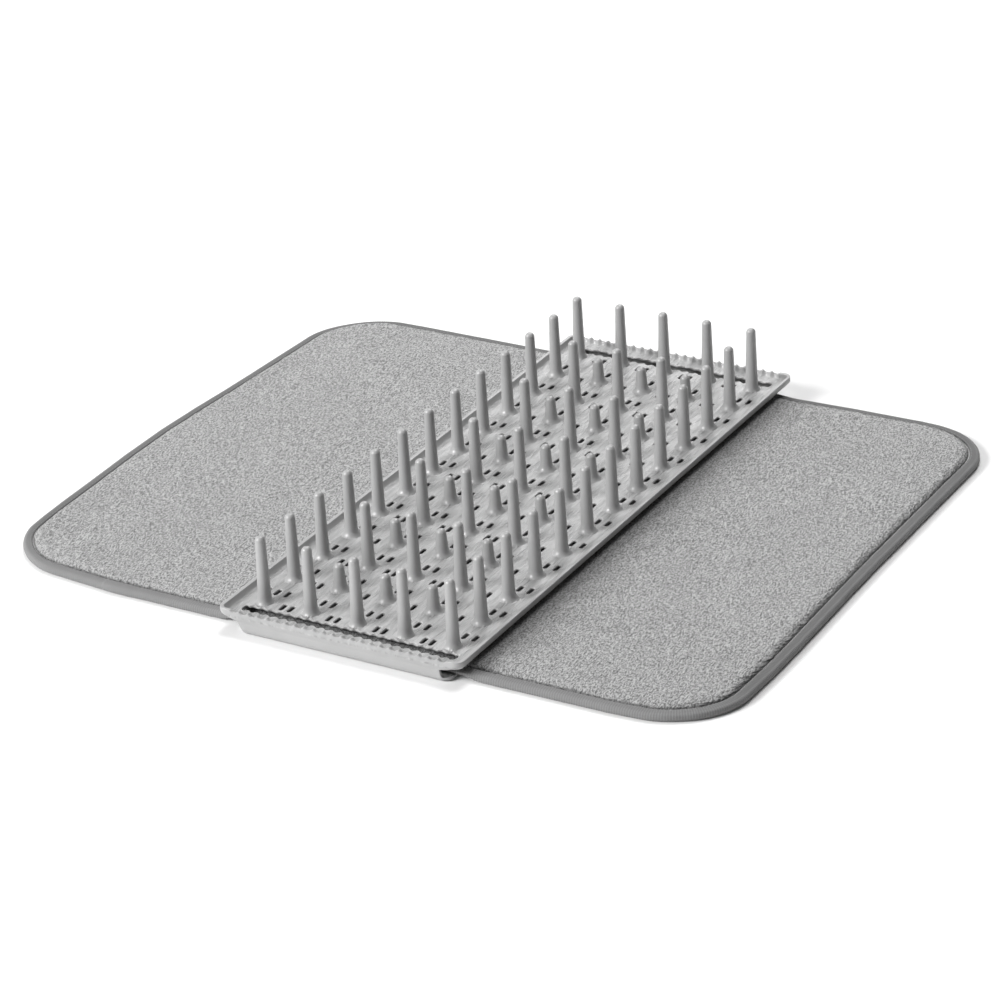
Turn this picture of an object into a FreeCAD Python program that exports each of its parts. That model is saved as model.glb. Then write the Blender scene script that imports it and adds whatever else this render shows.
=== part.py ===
import FreeCAD, Part
import math
import os

# Fold-away drying rack: a moulded tray of upright pegs that clips round the two long edges of an
# absorbent, foam-cored mat. Millimetres. +Z up, X along the mat's long side, Y across it.
# Origin: centre of the mat's underside, on the table. "Left" is -X, "right" is +X.
# HALF_X and HALF_Y are half sizes, _Z a height above the table, _R a radius, _T a thickness.

Vector = FreeCAD.Vector

OVER = 1.0                      # how far a cutting solid runs past what it cuts
SIN_45 = math.sqrt(0.5)
ARC_INSET = 1 - SIN_45          # middle of a quarter arc, in from the corner, per unit radius

# ---------------------------------------------------------------- mat dimensions
MAT_HALF_X = 605.0 / 2
MAT_HALF_Y = 498.0 / 2
MAT_R = 55.0                    # plan corners
MAT_TOP_Z = 8.6                 # top of the pile
BINDING_H = 6.0
BINDING_T = 0.8
BINDING_LAP = 6.5               # width of tape over the top and under the bottom
LAP_GAP = 0.3                   # between the tape's lap and the pile or backing
BACKING_T = 0.8
LAYER_GAP = 0.05                # above and below the foam core
CORE_EDGE_GAP = 0.1             # between the core and the tape round it
PILE_BOTTOM_Z = BINDING_H - BINDING_T
PILE_EDGE_R = 2.4               # round-over of the pile beside the tape
PANEL_GAP = 0.1                 # between two panels at a crease

# ---------------------------------------------------------------- rack dimensions
RACK_X = 17.8                   # centre of the rack along the mat
TRAY_HALF_X = 100.0             # to the rim's outside
TRAY_HALF_Y = 261.5             # to the end rails' outside
TRAY_R = 9.0                    # plan corners
PLATE_BOTTOM_Z = 11.0
PLATE_TOP_Z = 13.0
RIM_TOP_Z = 18.0
RIM_T = 1.8
UNDERCUT = 3.2                  # chamfer round the tray's bottom edge
COVE_R = 5.0                    # between plate and rim
DISH_OVER = 4.0                 # how far the tray's hollow is cut above the rim
SKIRT_BOTTOM_Z = 9.6            # bottom of the end skirts and of the rib
SKIRT_TOP_Z = RIM_TOP_Z - 3.4
SKIRT_T = 2.0
RIB_INSET = 6.0                 # rib under the plate, in from the tray's edge
RIB_T = 1.6
RIB_R = 3.2                     # plan corners
RIB_OVERLAP = 0.5               # into the plate

# clips that turn under the mat's long edges
CLIP_Y = 260.8                  # outside of the clip wall
CLIP_T = 1.8
CLIP_TOP_Z = RIM_TOP_Z - 3.5
CLIP_BEND_R = 4.0               # outside of the bend
CLIP_HALF_X = 82.0              # the wall
LIP_HALF_X = 89.0
LIP_R = 7.0                     # plan corners
LIP_INNER_Y = 240.5             # how far the lip reaches in under the mat

# recess for each lip in the mat's underside
RACK_PLAY = 5.0                 # the rack slides this far either way
RECESS_GAP_X = 1.0              # beyond the play
RECESS_GAP_Y = 2.0
RECESS_GAP_Z = 0.4

# pegs; heights above the plate
COLUMNS, ROWS = 5, 13
COLUMN_PITCH = 38.8             # along X
ROW_PITCH = 38.8                # along Y
TALL_H = 52.5
SHORT_H = 21.2
PEG_TIP_R = 4.0
PEG_ROOT_R = 5.2
PEG_FOOT_R = 7.6
PEG_FOOT_H = 3.4
FLARE_MID_R = 0.75              # shape of the foot's flare: its middle point compared
FLARE_MID_H = 1.05              # with a quarter arc's, outwards and upwards
PEG_DOME_H = 3.0
BORE_R = 3.2                    # core hole up the inside of each peg, at the bottom
BORE_TALL_TOP_R = 2.0
BORE_SHORT_TOP_R = 2.8
BORE_CAP_T = 2.0                # plastic between the core hole and the dome

# drain slots, long along Y
SLOT_L, SLOT_W = 9.0, 2.8
TRIPLE_DX = 8.3                 # three slots between rows: pitch, distance from the peg
TRIPLE_DY = 16.6
PAIR_DX = 3.4                   # two slots between columns: either side of midway
PAIR_DY = -1.2

# wavy slot and fluted rail at each end
WAVY_Y = 245.3
WAVY_HALF_X = 88.0              # without the round ends
WAVY_HALF_W = 3.7
WAVE_PITCH = COLUMN_PITCH / 5.0
WAVE_HEIGHT = 0.55
WAVE_STEPS = 4                  # spline points per wave
FLUTE_R = 3.6
FLUTE_DEPTH = 0.8
FLUTE_L = 9.5

# creases, where the mat folds round the rack
CREASE_CLEAR = 8.0              # first crease, outside the rack's rim
LEFT_RISE = 60.0                # between the left wing's two creases
RIGHT_RISE = 70.5               # the right wing closes over the left one
LEFT_CREASE = RACK_X - TRAY_HALF_X - CREASE_CLEAR
LEFT_OUTER_CREASE = LEFT_CREASE - LEFT_RISE
RIGHT_CREASE = RACK_X + TRAY_HALF_X + CREASE_CLEAR
RIGHT_OUTER_CREASE = RIGHT_CREASE + RIGHT_RISE

# panel names from left to right, and the lines that bound them
PANELS = ("left_outer", "left_inner", "centre", "right_inner", "right_outer")
PANEL_BOUNDS = (
    -MAT_HALF_X - OVER, LEFT_OUTER_CREASE, LEFT_CREASE,
    RIGHT_CREASE, RIGHT_OUTER_CREASE, MAT_HALF_X + OVER,
)


# ---------------------------------------------------------------- helpers
def save(shape, name):
    if not shape.isValid():
        raise RuntimeError("invalid solid: " + name)
    solids = shape.Solids
    piece = Part.makeCompound(solids) if len(solids) > 1 else solids[0]
    piece.exportStep("parts/" + name + ".step")


def face(*outline):
    """Face inside an outline of lines (two points each) and arcs (three points each)."""
    curves = [Part.LineSegment(*points) if len(points) == 2 else Part.Arc(*points)
              for points in outline]
    return Part.Face(Part.Wire([curve.toShape() for curve in curves]))


def rounded_prism(half_x, half_y, radius, z0, z1, centre_x=0.0, centre_y=0.0):
    """Upright prism on a rounded rectangle."""
    def at(x, y):
        return Vector(centre_x + x, centre_y + y, z0)

    flat_x, flat_y = half_x - radius, half_y - radius
    mid_x, mid_y = half_x - radius * ARC_INSET, half_y - radius * ARC_INSET
    return face(
        (at(-flat_x, -half_y), at(flat_x, -half_y)),
        (at(flat_x, -half_y), at(mid_x, -mid_y), at(half_x, -flat_y)),
        (at(half_x, -flat_y), at(half_x, flat_y)),
        (at(half_x, flat_y), at(mid_x, mid_y), at(flat_x, half_y)),
        (at(flat_x, half_y), at(-flat_x, half_y)),
        (at(-flat_x, half_y), at(-mid_x, mid_y), at(-half_x, flat_y)),
        (at(-half_x, flat_y), at(-half_x, -flat_y)),
        (at(-half_x, -flat_y), at(-mid_x, -mid_y), at(-flat_x, -half_y)),
    ).extrude(Vector(0, 0, z1 - z0))


def box(x_ends, y_ends, z_ends):
    """Box between two values on each axis, given in either order."""
    (x0, x1), (y0, y1), (z0, z1) = sorted(x_ends), sorted(y_ends), sorted(z_ends)
    return Part.makeBox(x1 - x0, y1 - y0, z1 - z0, Vector(x0, y0, z0))


def edges_at(shape, z):
    """Edges that lie wholly at one height."""
    return [edge for edge in shape.Edges
            if all(abs(vertex.Point.z - z) < 1e-6 for vertex in edge.Vertexes)]


# ---------------------------------------------------------------- mat
def mat_prism(inset, z0, z1):
    return rounded_prism(MAT_HALF_X - inset, MAT_HALF_Y - inset, MAT_R - inset, z0, z1)


def terry_pile():
    pile = mat_prism(BINDING_LAP + LAP_GAP, PILE_BOTTOM_Z, MAT_TOP_Z)
    return pile.makeFillet(PILE_EDGE_R, edges_at(pile, MAT_TOP_Z))


def foam_core():
    return mat_prism(BINDING_T + CORE_EDGE_GAP, BACKING_T + LAYER_GAP, PILE_BOTTOM_Z - LAYER_GAP)


def backing():
    return mat_prism(BINDING_LAP + LAP_GAP, 0.0, BACKING_T)


def edge_binding():
    """Tape of C section round the mat's edge."""
    tape = mat_prism(0.0, 0.0, BINDING_H)
    tape = tape.cut(mat_prism(BINDING_T, BINDING_T, BINDING_H - BINDING_T))
    return tape.cut(mat_prism(BINDING_LAP, -OVER, BINDING_H + OVER))


def lip_recesses():
    """Shallow recesses in the mat's underside that clear the clip lips as the rack slides."""
    half_x = LIP_HALF_X + RACK_PLAY + RECESS_GAP_X
    return Part.makeCompound([
        box((RACK_X - half_x, RACK_X + half_x),
            (side * (MAT_HALF_Y + OVER), side * (LIP_INNER_Y - RECESS_GAP_Y)),
            (-OVER, CLIP_T + RECESS_GAP_Z))
        for side in (-1, 1)])


def save_mat():
    """Each layer is built whole, then parted at the creases."""
    layers = {
        "terry_pile": terry_pile(),
        "foam_core": foam_core(),
        "backing": backing(),
        "edge_binding": edge_binding(),
    }
    recesses = lip_recesses()
    for i, panel in enumerate(PANELS):
        x0, x1 = PANEL_BOUNDS[i:i + 2]
        if i > 0:
            x0 += PANEL_GAP / 2
        if i < len(PANELS) - 1:
            x1 -= PANEL_GAP / 2
        cell = box((x0, x1), (-MAT_HALF_Y - OVER, MAT_HALF_Y + OVER), (-OVER, MAT_TOP_Z + OVER))
        for name, layer in layers.items():
            piece = layer.common(cell)
            if panel == "centre" and name != "terry_pile":
                piece = piece.cut(recesses)
            save(piece, name + "_" + panel)


# ---------------------------------------------------------------- tray
def tray_prism(inset, radius, z0, z1):
    return rounded_prism(TRAY_HALF_X - inset, TRAY_HALF_Y - inset, radius, z0, z1, RACK_X)


def tray_body():
    """Plate and rim, with the undercut below and the cove inside."""
    body = tray_prism(0.0, TRAY_R, PLATE_BOTTOM_Z, RIM_TOP_Z)
    body = body.makeChamfer(UNDERCUT, edges_at(body, PLATE_BOTTOM_Z))
    dish = tray_prism(RIM_T, TRAY_R - RIM_T, PLATE_TOP_Z, RIM_TOP_Z + DISH_OVER)
    return body.cut(dish.makeFillet(COVE_R, edges_at(dish, PLATE_TOP_Z)))


def plate_rib():
    """Low rib that runs round the underside of the plate."""
    rib = tray_prism(RIB_INSET, RIB_R, SKIRT_BOTTOM_Z, PLATE_BOTTOM_Z + RIB_OVERLAP)
    return rib.cut(tray_prism(RIB_INSET + RIB_T, RIB_R - RIB_T,
                              SKIRT_BOTTOM_Z - OVER, PLATE_BOTTOM_Z + OVER))


def end_skirt(side):
    half_x = TRAY_HALF_X - TRAY_R
    return box((RACK_X - half_x, RACK_X + half_x),
               (side * TRAY_HALF_Y, side * (TRAY_HALF_Y - SKIRT_T)),
               (SKIRT_BOTTOM_Z, SKIRT_TOP_Z))


def clip(side):
    """Wall down from an end rail, turned in under the mat as a wider lip."""
    def at(y, z):
        return Vector(RACK_X - LIP_HALF_X, side * y, z)

    outer_r, inner_r = CLIP_BEND_R, CLIP_BEND_R - CLIP_T
    bend_y = CLIP_Y - outer_r
    hook = face(
        (at(CLIP_Y, CLIP_TOP_Z), at(CLIP_Y, outer_r)),
        (at(CLIP_Y, outer_r),
         at(bend_y + outer_r * SIN_45, outer_r - outer_r * SIN_45),
         at(bend_y, 0.0)),
        (at(bend_y, 0.0), at(LIP_INNER_Y, 0.0)),
        (at(LIP_INNER_Y, 0.0), at(LIP_INNER_Y, CLIP_T)),
        (at(LIP_INNER_Y, CLIP_T), at(bend_y, CLIP_T)),
        (at(bend_y, CLIP_T),
         at(bend_y + inner_r * SIN_45, outer_r - inner_r * SIN_45),
         at(CLIP_Y - CLIP_T, outer_r)),
        (at(CLIP_Y - CLIP_T, outer_r), at(CLIP_Y - CLIP_T, CLIP_TOP_Z)),
        (at(CLIP_Y - CLIP_T, CLIP_TOP_Z), at(CLIP_Y, CLIP_TOP_Z)),
    ).extrude(Vector(2 * LIP_HALF_X, 0, 0))
    # narrow the wall above the lip
    for end in (-1, 1):
        hook = hook.cut(box((RACK_X + end * CLIP_HALF_X, RACK_X + end * (LIP_HALF_X + OVER)),
                            (side * (CLIP_Y + OVER), side * (LIP_INNER_Y - OVER)),
                            (CLIP_T, RIM_TOP_Z)))
    # round the lip's outer corners; the plan's inner corners fall clear of the lip
    plan_inner_y = LIP_INNER_Y - LIP_R
    plan = rounded_prism(LIP_HALF_X, (CLIP_Y - plan_inner_y) / 2, LIP_R, -OVER, RIM_TOP_Z,
                         RACK_X, side * (CLIP_Y + plan_inner_y) / 2)
    return hook.common(plan)


def drain_slot(centre_x, centre_y):
    """Round-ended cutter, long along Y."""
    def at(x, y):
        return Vector(centre_x + x, centre_y + y, SKIRT_BOTTOM_Z)

    radius = SLOT_W / 2
    flat = SLOT_L / 2 - radius
    return face(
        (at(radius, -flat), at(radius, flat)),
        (at(radius, flat), at(0, flat + radius), at(-radius, flat)),
        (at(-radius, flat), at(-radius, -flat)),
        (at(-radius, -flat), at(0, -flat - radius), at(radius, -flat)),
    ).extrude(Vector(0, 0, PLATE_TOP_Z + OVER - SKIRT_BOTTOM_Z))


def peg_grid():
    """Column, row, x and y of every peg."""
    for row in range(ROWS):
        for column in range(COLUMNS):
            yield (column, row, RACK_X + (column - (COLUMNS - 1) / 2) * COLUMN_PITCH,
                   (row - (ROWS - 1) / 2) * ROW_PITCH)


def plate_cutters():
    """Drain slots, and the hole under each peg."""
    cutters = []
    for column, row, x, y in peg_grid():
        if row < ROWS - 1:
            for dx in (-TRIPLE_DX, 0.0, TRIPLE_DX):
                cutters.append(drain_slot(x + dx, y + TRIPLE_DY))
        if column < COLUMNS - 1:
            for dx in (-PAIR_DX, PAIR_DX):
                cutters.append(drain_slot(x + COLUMN_PITCH / 2 + dx, y + PAIR_DY))
        cutters.append(Part.makeCylinder(BORE_R, PLATE_TOP_Z + OVER - SKIRT_BOTTOM_Z,
                                         Vector(x, y, SKIRT_BOTTOM_Z)))
    return cutters


def wavy_slot(side):
    """Long cutter with two parallel wavy sides and round ends."""
    bottom_z = PLATE_BOTTOM_Z - OVER
    steps = WAVE_STEPS * int(round(2 * WAVY_HALF_X / WAVE_PITCH))

    def wavy_side(offset):
        points = []
        for i in range(steps + 1):
            dx = -WAVY_HALF_X + 2 * WAVY_HALF_X * i / steps
            wave = WAVE_HEIGHT * math.cos(2 * math.pi * dx / WAVE_PITCH)
            points.append(Vector(RACK_X + dx, side * WAVY_Y + offset + wave, bottom_z))
        curve = Part.BSplineCurve()
        curve.interpolate(points)
        return curve.toShape(), points[0], points[-1]

    def round_end(start, finish, direction):
        middle = Vector(start.x + direction * WAVY_HALF_W, (start.y + finish.y) / 2, bottom_z)
        return Part.Arc(start, middle, finish).toShape()

    low, low_left, low_right = wavy_side(-WAVY_HALF_W)
    high, high_left, high_right = wavy_side(WAVY_HALF_W)
    wire = Part.Wire([low, round_end(low_right, high_right, 1),
                      high, round_end(high_left, low_left, -1)])
    return Part.Face(wire).extrude(Vector(0, 0, RIM_TOP_Z))


def flutes(side):
    """Round grooves across the top of an end rail."""
    count = int(WAVY_HALF_X // WAVE_PITCH)
    return [Part.makeCylinder(FLUTE_R, FLUTE_L,
                              Vector(RACK_X + i * WAVE_PITCH, side * (TRAY_HALF_Y + OVER),
                                     RIM_TOP_Z + FLUTE_R - FLUTE_DEPTH),
                              Vector(0, -side, 0))
            for i in range(-count, count + 1)]


def peg_tray():
    tray = tray_body().fuse(plate_rib())
    for add_on in (end_skirt, clip):
        for side in (-1, 1):
            tray = tray.fuse(add_on(side))
    tray = tray.removeSplitter()
    cutters = plate_cutters()
    for side in (-1, 1):
        cutters += [wavy_slot(side)] + flutes(side)
    return tray.cut(Part.makeCompound(cutters))


# ---------------------------------------------------------------- pegs
def peg(height, bore_top_r):
    """Round tapered peg with a flared foot, a domed tip and a core hole open at the bottom."""
    def at(radius, z):
        return Vector(radius, 0, z)

    shoulder_z = height - PEG_DOME_H
    bore_z = shoulder_z - BORE_CAP_T
    flare_mid = at(PEG_ROOT_R + (PEG_FOOT_R - PEG_ROOT_R) * ARC_INSET * FLARE_MID_R,
                   PEG_FOOT_H * ARC_INSET * FLARE_MID_H)
    # dome: a spherical cap centred on the peg's axis
    dome_r = (PEG_TIP_R ** 2 + PEG_DOME_H ** 2) / (2 * PEG_DOME_H)
    dome_z = height - dome_r
    mid_angle = (math.atan2(shoulder_z - dome_z, PEG_TIP_R) + math.pi / 2) / 2
    dome_mid = at(dome_r * math.cos(mid_angle), dome_z + dome_r * math.sin(mid_angle))
    return face(
        (at(PEG_FOOT_R, 0), flare_mid, at(PEG_ROOT_R, PEG_FOOT_H)),
        (at(PEG_ROOT_R, PEG_FOOT_H), at(PEG_TIP_R, shoulder_z)),
        (at(PEG_TIP_R, shoulder_z), dome_mid, at(0, height)),
        (at(0, height), at(0, bore_z)),
        (at(0, bore_z), at(bore_top_r, bore_z)),
        (at(bore_top_r, bore_z), at(BORE_R, 0)),
        (at(BORE_R, 0), at(PEG_FOOT_R, 0)),
    ).revolve(Vector(0, 0, 0), Vector(0, 0, 1), 360)


def save_pegs():
    """Short pegs fill the inner columns of every second row; the rest are tall."""
    tall_peg, short_peg = peg(TALL_H, BORE_TALL_TOP_R), peg(SHORT_H, BORE_SHORT_TOP_R)
    tall, short = [], []
    for column, row, x, y in peg_grid():
        is_short = row % 2 == 1 and 0 < column < COLUMNS - 1
        placed = (short_peg if is_short else tall_peg).copy()
        placed.translate(Vector(x, y, PLATE_TOP_Z))
        (short if is_short else tall).append(placed)
    save(Part.makeCompound(tall), "tall_pegs")
    save(Part.makeCompound(short), "short_pegs")


os.makedirs("parts", exist_ok=True)
save_mat()
save(peg_tray(), "peg_tray")
save_pegs()
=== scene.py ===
"""A bottle drying rack: a moulded peg tray clipped over a folding terry drying mat.

Lengths are millimetres in the CAD frame (origin under the middle of the mat, X along its long
side, Y to the back, Z up) and are turned into metres when a mesh is made. Materials, lights and
the camera are in metres.
"""

import math
from collections import namedtuple
from types import SimpleNamespace

import bmesh
import bpy
import numpy as np
from mathutils import Matrix, Vector
from mathutils.geometry import delaunay_2d_cdt


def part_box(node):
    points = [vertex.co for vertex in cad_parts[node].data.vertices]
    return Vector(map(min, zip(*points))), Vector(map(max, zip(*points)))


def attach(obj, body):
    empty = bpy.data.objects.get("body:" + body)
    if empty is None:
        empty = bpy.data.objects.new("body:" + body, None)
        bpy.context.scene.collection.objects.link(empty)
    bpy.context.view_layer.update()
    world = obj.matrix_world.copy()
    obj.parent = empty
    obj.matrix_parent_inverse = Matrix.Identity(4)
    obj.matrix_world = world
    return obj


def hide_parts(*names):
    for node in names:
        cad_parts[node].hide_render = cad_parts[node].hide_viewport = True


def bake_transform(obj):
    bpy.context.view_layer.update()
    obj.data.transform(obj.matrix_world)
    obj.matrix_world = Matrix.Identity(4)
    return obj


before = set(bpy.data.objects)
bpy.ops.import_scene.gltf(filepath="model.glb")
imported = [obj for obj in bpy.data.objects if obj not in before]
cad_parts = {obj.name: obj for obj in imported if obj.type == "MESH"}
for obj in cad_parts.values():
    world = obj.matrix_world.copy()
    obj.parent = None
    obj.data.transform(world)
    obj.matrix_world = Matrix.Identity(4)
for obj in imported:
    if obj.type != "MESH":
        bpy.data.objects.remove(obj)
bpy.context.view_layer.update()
MM = 0.001
rng = np.random.default_rng(20417)
scene = bpy.context.scene


def box_mm(node):
    low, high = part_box(node)
    return np.array(low) / MM, np.array(high) / MM


# ---------------------------------------------------------------- sizes shared by rack and mat
tray_low, tray_high = box_mm("peg_tray")
binding_high = box_mm("edge_binding_right_outer")[1]

XC = float(tray_low[0] + tray_high[0]) / 2  # middle of the rack
HX = float(tray_high[0] - tray_low[0]) / 2  # half sizes of the rack
HY = float(tray_high[1] - tray_low[1]) / 2
RIM_Z = float(tray_high[2])
TALL_TIP_Z = float(box_mm("tall_pegs")[1][2])
SHORT_TIP_Z = float(box_mm("short_pegs")[1][2])
MAT_HX = float(binding_high[0])
MAT_HY = float(binding_high[1])
MAT_R = 55.0
PILE_Z = float(box_mm("terry_pile_centre")[1][2])
LIP_IN_Y = HY - 21.0  # inner edge of the clips' lips


# ---------------------------------------------------------------- helpers
def smooth01(t):
    t = np.clip(t, 0.0, 1.0)
    return t * t * (3 - 2 * t)


def mesh_object(name, verts, faces, material):
    mesh = bpy.data.meshes.new(name)
    mesh.from_pydata((np.asarray(verts, float) * MM).tolist(), [], faces)
    mesh.update()
    mesh.polygons.foreach_set("use_smooth", np.ones(len(mesh.polygons), bool))
    mesh.materials.append(material)
    ob = bpy.data.objects.new(name, mesh)
    scene.collection.objects.link(ob)
    return ob


def add_attribute(ob, name, values):
    attribute = ob.data.attributes.new(name, "FLOAT", "POINT")
    attribute.data.foreach_set("value", values.astype(np.float32))


def grid_faces(rows, cols, offset=0, flip=False):
    """Quads over a rows x cols block of vertices stored row by row."""
    i = np.arange(rows - 1)[:, None] * cols + np.arange(cols - 1)[None, :]
    quads = np.stack([i, i + 1, i + cols + 1, i + cols], -1).reshape(-1, 4) + offset
    return quads[:, ::-1] if flip else quads


def ring_faces(count, lower, upper, flip):
    """Quads between two closed loops of count vertices."""
    k = np.arange(count)
    after = (k + 1) % count
    quads = np.stack([lower + k, lower + after, upper + after, upper + k], -1)
    return (quads[:, ::-1] if flip else quads).tolist()


def smooth_noise(shape, cells, amp):
    """Soft random field: a coarse random lattice read back with cubic weights."""
    lattice = rng.standard_normal((cells[0] + 3, cells[1] + 3))
    along_y = np.linspace(0, cells[0] - 1e-6, shape[0])
    along_x = np.linspace(0, cells[1] - 1e-6, shape[1])
    iy, ix = along_y.astype(int), along_x.astype(int)
    ty = smooth01(along_y - iy)[:, None]
    tx = smooth01(along_x - ix)[None, :]

    def row_blend(rows):
        return lattice[np.ix_(rows, ix)] * (1 - tx) + lattice[np.ix_(rows, ix + 1)] * tx

    return amp * (row_blend(iy) * (1 - ty) + row_blend(iy + 1) * ty)


def rounded_outline(hx, hy, radius, runs, corner):
    """Points and outward normals, anticlockwise from the left end of the straight front side.

    runs holds the places along the front, right, back and left sides; corner holds the degrees
    turned at each point of a corner.
    """
    cx, cy = hx - radius, hy - radius
    points, normals = [], []
    # outward normal of each side, then the centre of the corner after it
    sides = ((0, -1, cx, -cy), (1, 0, cx, cy), (0, 1, -cx, cy), (-1, 0, -cx, -cy))
    for turn, (places, (nx, ny, arc_x, arc_y)) in enumerate(zip(runs, sides)):
        for place in places:
            points.append((nx * hx if nx else place, ny * hy if ny else place))
            normals.append((nx, ny))
        for a in np.radians(corner + 90 * (turn - 1)):
            points.append((arc_x + radius * math.cos(a), arc_y + radius * math.sin(a)))
            normals.append((math.cos(a), math.sin(a)))
    return np.array(points), np.array(normals)


class Shell:
    """Collects the vertices and faces of one mesh."""

    def __init__(self):
        self.points, self.faces, self.count = [], [], 0

    def add(self, points):
        start = self.count
        self.points.append(np.asarray(points, float))
        self.count += len(points)
        return start

    def tube(self, rings, flip=False):
        """Joins a row of equal closed rings; gives the start of the first and last."""
        starts = [self.add(ring) for ring in rings]
        for lower, upper in zip(starts[:-1], starts[1:]):
            self.faces.extend(ring_faces(len(rings[0]), lower, upper, flip))
        return starts[0], starts[-1]

    def bar(self, rings, flip=False):
        """A tube with a flat face on both ends."""
        order = 1 if flip else -1
        first, last = self.tube(rings, flip)
        count = len(rings[0])
        self.faces.append(list(range(first, first + count))[::order])
        self.faces.append(list(range(last, last + count))[::-order])

    def verts(self):
        return np.concatenate(self.points)


# ---------------------------------------------------------------- materials
class Shader:
    """Adds nodes to a tree; an input takes either a value or another node's socket."""

    def __init__(self, tree):
        self.tree = tree

    def feed(self, node, inputs):
        for key, value in inputs.items():
            if isinstance(value, bpy.types.NodeSocket):
                self.tree.links.new(value, node.inputs[key])
            else:
                node.inputs[key].default_value = value

    def node(self, kind, inputs=None, **settings):
        node = self.tree.nodes.new("ShaderNode" + kind)
        for key, value in settings.items():
            setattr(node, key, value)
        self.feed(node, inputs or {})
        return node

    def coord(self, scale=(1, 1, 1)):
        place = self.node("TexCoord").outputs["Object"]
        return self.node("Mapping", {"Scale": scale, "Vector": place}).outputs["Vector"]

    def noise(self, vector, scale, detail, rough):
        inputs = {"Scale": scale, "Detail": detail, "Roughness": rough, "Vector": vector}
        return self.node("TexNoise", inputs).outputs["Fac"]

    def attribute(self, name):
        return self.node("Attribute", attribute_name=name).outputs["Fac"]

    def ramp(self, fac, *stops):
        """Grey ramp; each stop is (position, grey)."""
        node = self.node("ValToRGB", {"Fac": fac})
        elements = node.color_ramp.elements
        while len(elements) < len(stops):
            elements.new(0.5)
        for element, (position, grey) in zip(elements, stops):
            element.position = position
            element.color = (grey, grey, grey, 1)
        return node.outputs["Color"]

    def math(self, operation, a, b):
        return self.node("Math", {0: a, 1: b}, operation=operation).outputs[0]

    def multiply(self, a, b, mask=None):
        """Colour a times b, where mask (if given) is 1."""
        inputs = {"Factor": 1.0, "A": a, "B": b}
        node = self.node("Mix", inputs, data_type="RGBA", blend_type="MULTIPLY")
        if mask is not None:
            self.feed(node, {"Factor": mask})
        return node.outputs["Result"]

    def product(self, colour, *others):
        for other in others:
            colour = self.multiply(colour, other)
        return colour

    def bump(self, height, strength, distance, normal=None, mask=None):
        """Bumped normal; a mask takes the place of the strength."""
        node = self.node("Bump", {"Strength": strength, "Distance": distance, "Height": height})
        if normal is not None:
            self.feed(node, {"Normal": normal})
        if mask is not None:
            self.feed(node, {"Strength": mask})
        return node.outputs["Normal"]


def new_material(name):
    material = bpy.data.materials.new(name)
    material.use_nodes = True
    material.node_tree.nodes.clear()
    shader = Shader(material.node_tree)
    output = shader.node("OutputMaterial")
    shader.surface = shader.node("BsdfPrincipled")
    shader.feed(output, {0: shader.surface.outputs[0]})
    return material, shader


def plastic_material(tone):
    """Moulded plastic; flow ripples show only on the plate between the pegs, as bumps and as
    painted reflection streaks in the colour.
    """
    material, shader = new_material("rack_plastic")
    v = shader.coord()
    cloud = shader.noise(v, scale=26.0, detail=3.0, rough=0.55)
    flow = shader.noise(shader.coord((1.0, 0.13, 0.35)), scale=210.0, detail=3.0, rough=0.6)
    grain = shader.noise(v, scale=1500.0, detail=2.0, rough=0.6)
    base = shader.ramp(cloud, (0.36, tone * 0.95), (0.64, tone * 1.02))
    # painted reflection: lighter and darker streaks in the colour along the flow ripples, kept to
    # the plate
    streak = shader.ramp(flow, (0.40, 0.86), (0.60, 1.12))
    fleck = shader.ramp(grain, (0.35, 0.97), (0.65, 1.0))
    height = shader.node("SeparateXYZ", {0: v}).outputs[2]
    level = shader.math("MULTIPLY", height, 50.0)  # 1 at 20 mm
    on_plate = shader.ramp(level, (0.60, 0.0), (0.64, 1.0), (0.66, 1.0), (0.72, 0.0))
    colour = shader.multiply(shader.multiply(base, fleck), streak, mask=on_plate)
    gloss = shader.noise(v, scale=60.0, detail=4.0, rough=0.6)
    roughness = shader.ramp(gloss, (0.3, 0.30), (0.7, 0.40))
    normal = shader.bump(grain, strength=0.12, distance=0.00006)
    normal = shader.bump(flow, strength=0.9, distance=0.0028, normal=normal, mask=on_plate)
    sink = shader.noise(v, scale=34.0, detail=1.0, rough=0.4)
    normal = shader.bump(sink, strength=0.12, distance=0.0008, normal=normal)
    shader.feed(shader.surface, {
        "Base Color": colour, "Roughness": roughness, "Normal": normal,
        "IOR": 1.49, "Specular IOR Level": 0.62,
    })
    return material


def terry_material(tone):
    """Terry loops, darkened by painted shade that a mesh attribute carries."""
    material, shader = new_material("terry_pile")
    v = shader.coord()
    loops = shader.noise(shader.coord((1.0, 0.45, 1.0)), scale=960.0, detail=1.0, rough=0.5)
    streak = shader.noise(shader.coord((1.0, 0.30, 1.0)), scale=760.0, detail=2.0, rough=0.6)
    fine = shader.noise(v, scale=1200.0, detail=2.0, rough=0.6)
    wide = shader.noise(v, scale=34.0, detail=3.0, rough=0.6)
    colour = shader.product(
        shader.ramp(loops, (0.37, tone * 0.50), (0.50, tone * 0.98), (0.63, tone * 1.28)),
        shader.ramp(streak, (0.38, 0.74), (0.52, 1.0)),
        shader.ramp(wide, (0.35, 0.94), (0.65, 1.0)),
        shader.ramp(fine, (0.3, 0.85), (0.6, 1.0)),
        # painted shade: darker under the rack, in the rack's painted shadow beside it, and along
        # the pile's edge
        shader.ramp(shader.attribute("painted_shade"), (0.0, 1.0), (1.0, 0.45)),
    )
    loop_height = shader.math("MULTIPLY", loops, 0.8)
    streak_height = shader.math("MULTIPLY", streak, 0.5)
    height = shader.math("ADD", loop_height, streak_height)
    shader.feed(shader.surface, {
        "Base Color": colour, "Normal": shader.bump(height, strength=0.9, distance=0.0012),
        "Roughness": 0.97, "Specular IOR Level": 0.10,
        "Sheen Weight": 0.12, "Sheen Roughness": 0.6,
    })
    return material


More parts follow.
